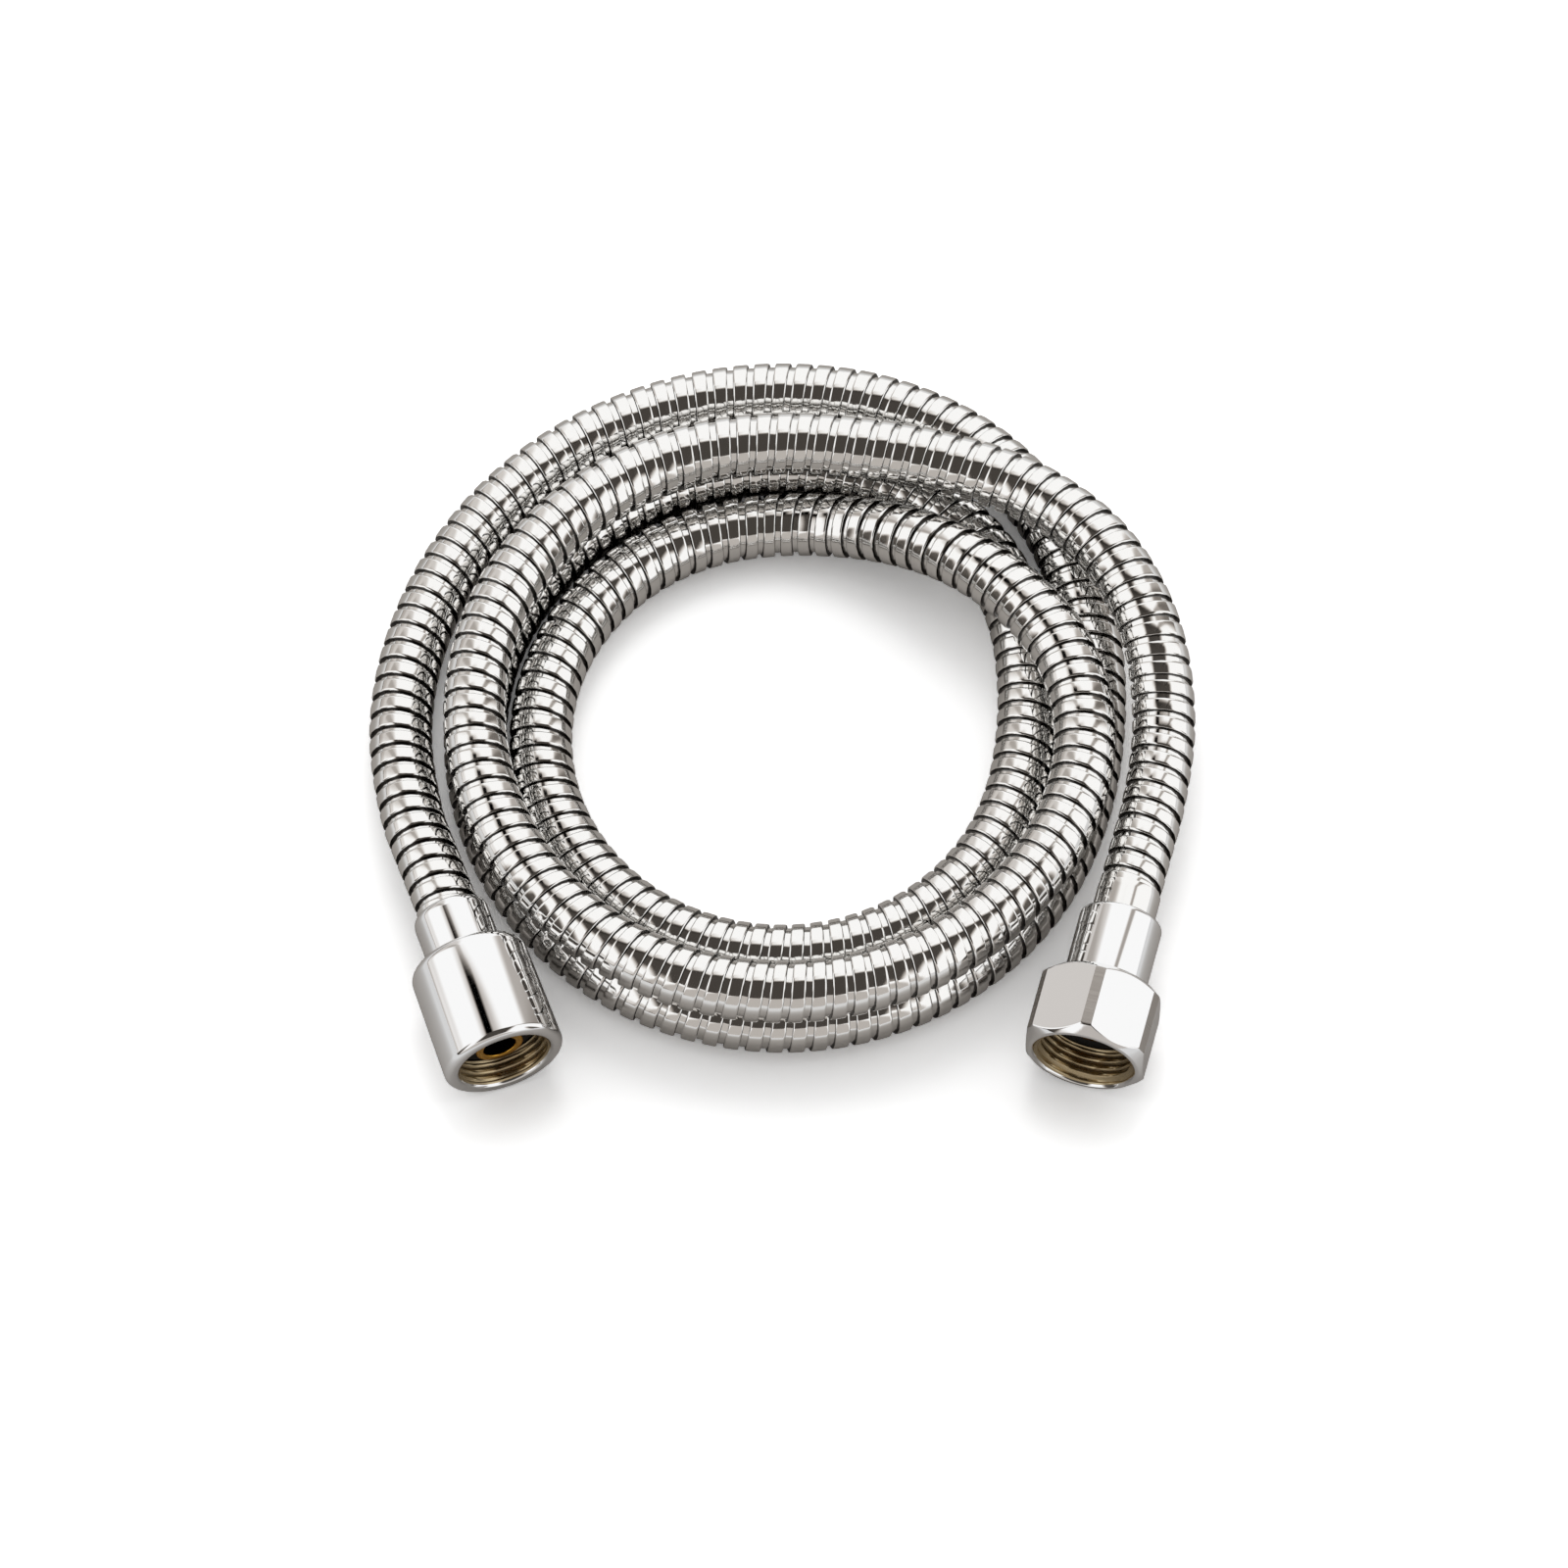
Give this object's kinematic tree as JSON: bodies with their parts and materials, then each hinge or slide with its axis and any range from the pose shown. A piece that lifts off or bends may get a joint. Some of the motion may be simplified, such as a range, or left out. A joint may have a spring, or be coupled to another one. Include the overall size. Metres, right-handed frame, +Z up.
{
  "type": "water connecting hose",
  "caption": "Coiled flexible metal water hose with a round swivel nut at one end and a hexagonal swivel nut at the other, each with a washer inside.",
  "frame": {"origin": "on the floor under the centre of the coiled hose's box", "axes": "+Z up from the floor, +X across the coil from the round nut's side to the hexagonal nut's side, both nuts facing -Y"},
  "size_m": [0.1344, 0.1326, 0.0215],
  "materials": {
    "polished_steel_strip": "polished",
    "polished_chrome": "polished",
    "turned_brass": "turned",
    "black_rubber": "matte",
    "rubber_tube": "matte"
  },
  "bodies": {
    "hose": {"hose_armour": "polished_steel_strip", "inner_tube": "rubber_tube", "round_end_sleeve": "polished_chrome", "round_end_nozzle": "turned_brass", "hex_end_sleeve": "polished_chrome", "hex_end_nozzle": "turned_brass"},
    "round_nut": {"round_swivel_nut": "polished_chrome", "round_end_washer": "black_rubber"},
    "hex_nut": {"hex_swivel_nut": "polished_chrome", "hex_end_washer": "black_rubber"}
  },
  "joints": [
    {"name": "round_nut_swivel", "type": "hinge", "parent": "hose", "child": "round_nut", "pos_m": [-0.05408, -0.03623, 0.0101], "axis": [0.3223, -0.9466, 0], "continuous": true},
    {"name": "hex_nut_swivel", "type": "hinge", "parent": "hose", "child": "hex_nut", "pos_m": [0.05513, -0.03799, 0.01075], "axis": [-0.2419, -0.9703, 0], "continuous": true}
  ]
}
